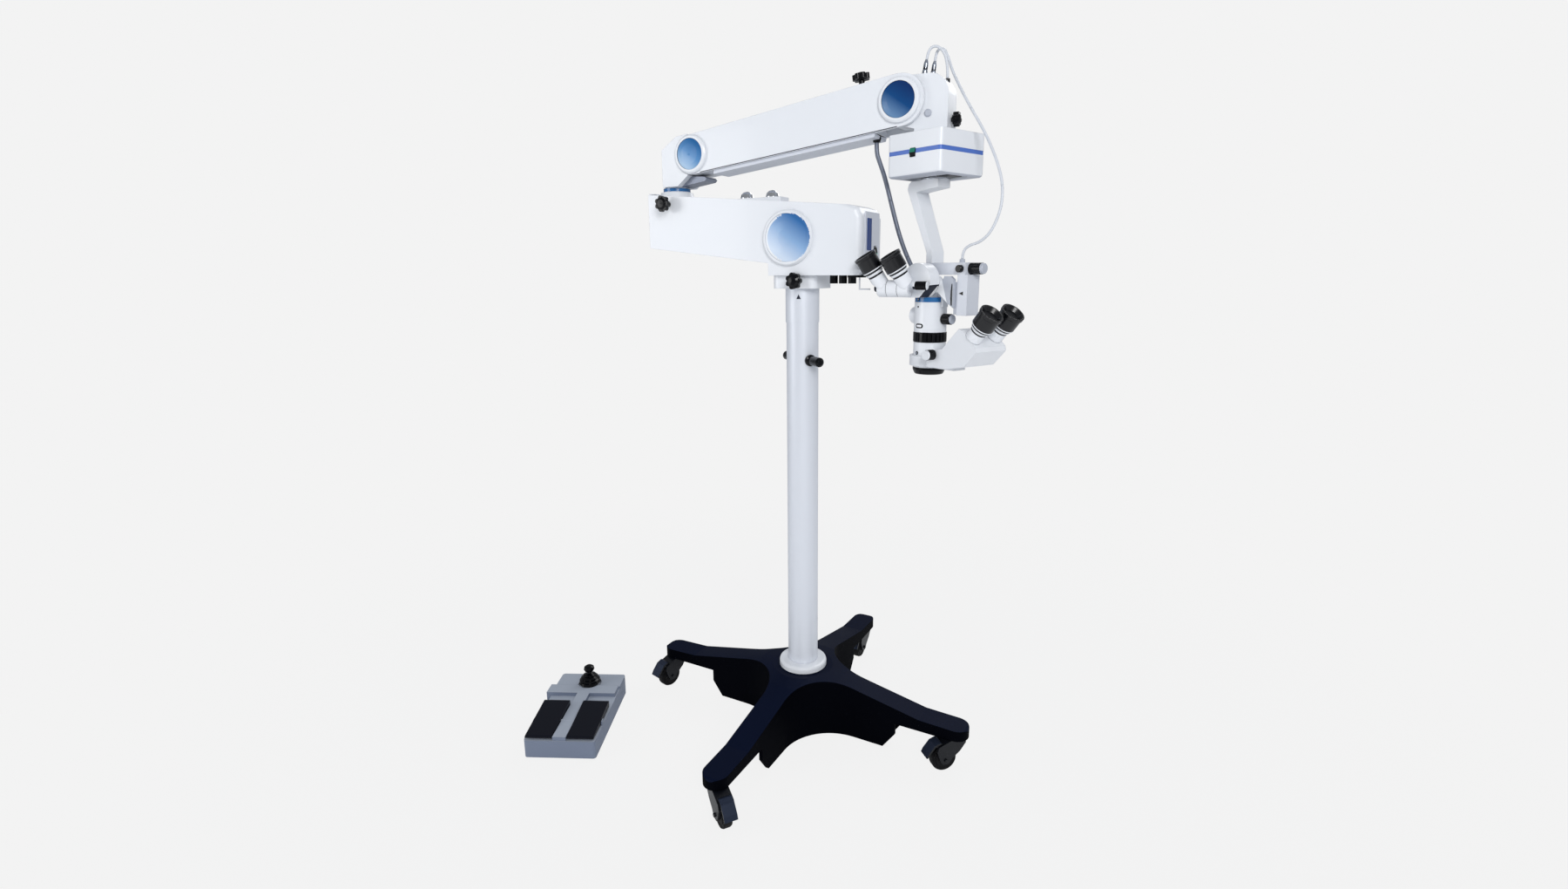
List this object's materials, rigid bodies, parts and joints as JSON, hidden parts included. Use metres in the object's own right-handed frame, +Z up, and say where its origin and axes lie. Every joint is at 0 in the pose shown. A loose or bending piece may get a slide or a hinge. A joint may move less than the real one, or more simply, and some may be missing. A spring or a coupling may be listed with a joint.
{
  "type": "surgical microscope",
  "caption": "Surgical microscope hung from a folding balanced arm on a column with a cross-shaped rolling base, with binocular and assistant eyepieces and a separate foot switch.",
  "frame": {"origin": "on the floor under the column's axis", "axes": "+Z up; the lower arm lies along X with the microscope at +X; -Y is the surgeon's side"},
  "size_m": [1.3858, 1.0774, 1.9002],
  "materials": {
    "base_iron": "satin paint",
    "column_steel": "light silver white, satin",
    "white_metal": "white paint on aluminium, satin",
    "white_cover": "white paint, satin",
    "blue_cap": "blue, glossy",
    "black_knob": "black, satin",
    "grey_block": "grey paint, satin",
    "steel_bracket": "steel grey",
    "tyre": "black rubber",
    "black_steel": "black, satin",
    "chrome": "polished",
    "lens": "coated lens in a black ring",
    "grey_conduit": "ribbed, grey",
    "white_cable": "white jacket",
    "grey_plastic": "grey, matt"
  },
  "bodies": {
    "base": {"base_casting": "base_iron", "column_flange": "white_metal", "column_tube": "column_steel", "column_sleeve": "column_steel", "push_handle": "black_steel"},
    "lower_arm": {"arm_hub": "white_metal", "lower_arm_cover": "white_cover", "lower_disc": "blue_cap", "control_panel": "black_knob", "cable_sockets": "black_knob", "dome_caps": "chrome", "side_bracket": "white_metal"},
    "panel_switch": {"power_rocker": "black_knob"},
    "column_clamp": {"column_clamp_knob": "black_knob"},
    "post_clamp": {"post_clamp_knob": "black_knob"},
    "swivel_head": {"post_ring": "blue_cap", "swivel_head": "white_metal"},
    "upper_arm": {"upper_arm_cover": "white_cover", "arm_underside": "grey_plastic", "pivot_caps": "blue_cap", "light_guide": "grey_conduit"},
    "arm_lock": {"arm_lock_knob": "black_knob"},
    "yoke": {"head_yoke": "white_metal", "cable_plugs": "chrome", "head_leads": "white_cable"},
    "yoke_lock": {"yoke_knob": "black_knob"},
    "slide_unit": {"xy_housing": "white_metal"},
    "slide_switch": {"xy_rocker": "black_knob"},
    "cross_slide": {"x_carriage": "black_steel"},
    "suspension": {"suspended_arm": "grey_block", "focus_block": "grey_block"},
    "focus_dial": {"focus_knob": "black_knob"},
    "focus_slide": {"focus_carriage": "grey_block"},
    "scope": {"scope_body": "white_metal", "objective": "lens", "binocular_head": "white_metal", "binocular_barrel": "white_metal", "eyepieces": "white_metal"},
    "zoom": {"zoom_ring": "black_steel"},
    "filter_dial": {"scope_knob": "black_knob"},
    "spacing_dial": {"binocular_knob": "black_knob"},
    "assistant": {"assistant_head": "white_metal", "assistant_eyepieces": "white_metal"},
    "assistant_dial": {"assistant_knob": "black_knob"},
    "foot_switch": {"foot_housing": "grey_plastic"},
    "left_pedal": {"foot_pedal_left": "black_knob"},
    "right_pedal": {"foot_pedal_right": "black_knob"},
    "stick": {"joystick": "black_knob"},
    "caster_left": {"caster_fork_left": "black_steel"},
    "wheel_left": {"caster_wheel_left": "tyre"},
    "pedal_left": {"caster_pedal_left": "steel_bracket"},
    "caster_front": {"caster_fork_front": "black_steel"},
    "wheel_front": {"caster_wheel_front": "tyre"},
    "pedal_front": {"caster_pedal_front": "steel_bracket"},
    "caster_right": {"caster_fork_right": "black_steel"},
    "wheel_right": {"caster_wheel_right": "tyre"},
    "pedal_right": {"caster_pedal_right": "steel_bracket"},
    "caster_back": {"caster_fork_back": "black_steel"},
    "wheel_back": {"caster_wheel_back": "tyre"},
    "pedal_back": {"caster_pedal_back": "steel_bracket"}
  },
  "joints": [
    {"name": "caster_swivel_left", "type": "hinge", "parent": "base", "child": "caster_left", "pos_m": [-0.484, 0, 0.09], "axis": [0, 0, 1], "continuous": true},
    {"name": "wheel_roll_left", "type": "hinge", "parent": "caster_left", "child": "wheel_left", "pos_m": [-0.49435, -0.03864, 0.0375], "axis": [0.9659, -0.2588, 0], "continuous": true},
    {"name": "caster_swivel_front", "type": "hinge", "parent": "base", "child": "caster_front", "pos_m": [0, -0.484, 0.09], "axis": [0, 0, 1], "continuous": true},
    {"name": "wheel_roll_front", "type": "hinge", "parent": "caster_front", "child": "wheel_front", "pos_m": [0.03277, -0.50694, 0.0375], "axis": [0.5736, 0.8192, 0], "continuous": true},
    {"name": "caster_swivel_right", "type": "hinge", "parent": "base", "child": "caster_right", "pos_m": [0.484, 0, 0.09], "axis": [0, 0, 1], "continuous": true},
    {"name": "wheel_roll_right", "type": "hinge", "parent": "caster_right", "child": "wheel_right", "pos_m": [0.45572, -0.02828, 0.0375], "axis": [0.7071, -0.7071, 0], "continuous": true},
    {"name": "caster_swivel_back", "type": "hinge", "parent": "base", "child": "caster_back", "pos_m": [0, 0.484, 0.09], "axis": [0, 0, 1], "continuous": true},
    {"name": "wheel_roll_back", "type": "hinge", "parent": "caster_back", "child": "wheel_back", "pos_m": [0, 0.444, 0.0375], "axis": [1, 0, 0], "continuous": true},
    {"name": "brake_left", "type": "hinge", "parent": "caster_left", "child": "pedal_left", "pos_m": [-0.49849, -0.05409, 0.077], "axis": [0.9659, -0.2588, 0], "range_deg": [-6, 5]},
    {"name": "brake_front", "type": "hinge", "parent": "caster_front", "child": "pedal_front", "pos_m": [0.04587, -0.51612, 0.077], "axis": [0.5736, 0.8192, 0], "range_deg": [-6, 5]},
    {"name": "brake_right", "type": "hinge", "parent": "caster_right", "child": "pedal_right", "pos_m": [0.4444, -0.0396, 0.077], "axis": [0.7071, -0.7071, 0], "range_deg": [-6, 5]},
    {"name": "brake_back", "type": "hinge", "parent": "caster_back", "child": "pedal_back", "pos_m": [0, 0.428, 0.077], "axis": [1, 0, 0], "range_deg": [-6, 5]},
    {"name": "arm_swing", "type": "hinge", "parent": "base", "child": "lower_arm", "pos_m": [0, 0, 1.33], "axis": [0, 0, 1], "range_deg": [-170, 170]},
    {"name": "column_clamp_turn", "type": "hinge", "parent": "lower_arm", "child": "column_clamp", "pos_m": [0.019, -0.0583, 1.351], "axis": [0, -1, 0], "range_deg": [-180, 180]},
    {"name": "post_clamp_turn", "type": "hinge", "parent": "lower_arm", "child": "post_clamp", "pos_m": [-0.393, -0.0753, 1.566], "axis": [0, -1, 0], "range_deg": [-180, 180]},
    {"name": "power_rock", "type": "hinge", "parent": "lower_arm", "child": "panel_switch", "pos_m": [0.201, 0.02, 1.422], "axis": [0, 1, 0], "range_deg": [-5, 5]},
    {"name": "post_swing", "type": "hinge", "parent": "lower_arm", "child": "swivel_head", "pos_m": [-0.417, 0, 1.604], "axis": [0, 0, 1], "range_deg": [-150, 150]},
    {"name": "arm_tilt", "type": "hinge", "parent": "swivel_head", "child": "upper_arm", "pos_m": [-0.328, 0, 1.701], "axis": [0, 1, 0], "range_deg": [-10, 14], "deforming": ["light_guide"]},
    {"name": "arm_lock_turn", "type": "hinge", "parent": "upper_arm", "child": "arm_lock", "pos_m": [0.172, 0, 1.8239], "axis": [-0.1392, 0, 0.9903], "range_deg": [-180, 180]},
    {"name": "head_level", "type": "hinge", "parent": "upper_arm", "child": "yoke", "pos_m": [0.288, 0, 1.778], "axis": [0, 1, 0], "range_deg": [-14, 10]},
    {"name": "yoke_lock_turn", "type": "hinge", "parent": "yoke", "child": "yoke_lock", "pos_m": [0.4053, 0, 1.73], "axis": [1, 0, 0], "range_deg": [-180, 180]},
    {"name": "head_swivel", "type": "hinge", "parent": "yoke", "child": "slide_unit", "pos_m": [0.369, 0, 1.698], "axis": [0, 0, 1], "range_deg": [-4, 120], "deforming": ["head_leads"]},
    {"name": "xy_rock", "type": "hinge", "parent": "slide_unit", "child": "slide_switch", "pos_m": [0.3373, -0.07619, 1.651], "axis": [0.9323, -0.3616, 0], "range_deg": [-5, 5]},
    {"name": "cross_travel", "type": "slide", "parent": "slide_unit", "child": "cross_slide", "axis": [0.9323, -0.3616, 0], "range_m": [-0.012, 0.025]},
    {"name": "reach_travel", "type": "slide", "parent": "cross_slide", "child": "suspension", "axis": [0.3616, 0.9323, 0], "range_m": [-0.025, 0.025]},
    {"name": "focus_travel", "type": "slide", "parent": "suspension", "child": "focus_slide", "axis": [0, 0, 1], "range_m": [-0.03, 0.003]},
    {"name": "focus_turn", "type": "hinge", "parent": "suspension", "child": "focus_dial", "pos_m": [0.47901, -0.04267, 1.3795], "axis": [0.9323, -0.3616, 0], "range_deg": [-540, 54]},
    {"name": "scope_tilt", "type": "hinge", "parent": "focus_slide", "child": "scope", "pos_m": [0.40163, -0.01266, 1.338], "axis": [0.3616, 0.9323, 0], "range_deg": [-4, 15]},
    {"name": "zoom_turn", "type": "hinge", "parent": "scope", "child": "zoom", "pos_m": [0.369, 0, 1.209], "axis": [0, 0, 1], "range_deg": [-60, 60]},
    {"name": "filter_turn", "type": "hinge", "parent": "scope", "child": "filter_dial", "pos_m": [0.40723, -0.01483, 1.256], "axis": [0.9323, -0.3616, 0], "range_deg": [-120, 120]},
    {"name": "spacing_turn", "type": "hinge", "parent": "scope", "child": "spacing_dial", "pos_m": [0.36, -0.097, 1.34], "axis": [1, 0, 0], "range_deg": [-180, 180]},
    {"name": "assistant_turn", "type": "hinge", "parent": "scope", "child": "assistant", "pos_m": [0.369, 0, 1.15], "axis": [0, 0, 1], "range_deg": [-25, 40]},
    {"name": "assistant_dial_turn", "type": "hinge", "parent": "assistant", "child": "assistant_dial", "pos_m": [0.40272, -0.07716, 1.172], "axis": [-0.4695, -0.8829, 0], "range_deg": [-180, 180]},
    {"name": "foot_switch_shift", "type": "slide", "parent": "base", "child": "foot_switch", "axis": [0.898, 0.4399, 0], "range_m": [-0.1, 0.1]},
    {"name": "left_pedal_press", "type": "hinge", "parent": "foot_switch", "child": "left_pedal", "pos_m": [-0.61797, -0.46406, 0.07], "axis": [0.898, 0.4399, 0], "range_deg": [-3, 3], "stiffness_Nm_per_rad": 6},
    {"name": "right_pedal_press", "type": "hinge", "parent": "foot_switch", "child": "right_pedal", "pos_m": [-0.50841, -0.41039, 0.07], "axis": [0.898, 0.4399, 0], "range_deg": [-3, 3], "stiffness_Nm_per_rad": 6},
    {"name": "stick_tilt", "type": "hinge", "parent": "foot_switch", "child": "stick", "pos_m": [-0.65334, -0.24866, 0.066], "axis": [0.898, 0.4399, 0], "range_deg": [-10, 10], "stiffness_Nm_per_rad": 0.8}
  ],
  "couplings": [
    {"joint": "head_level", "follows": "arm_tilt", "ratio": -1},
    {"joint": "focus_turn", "follows": "focus_travel", "rad_per_m": 314.16}
  ]
}
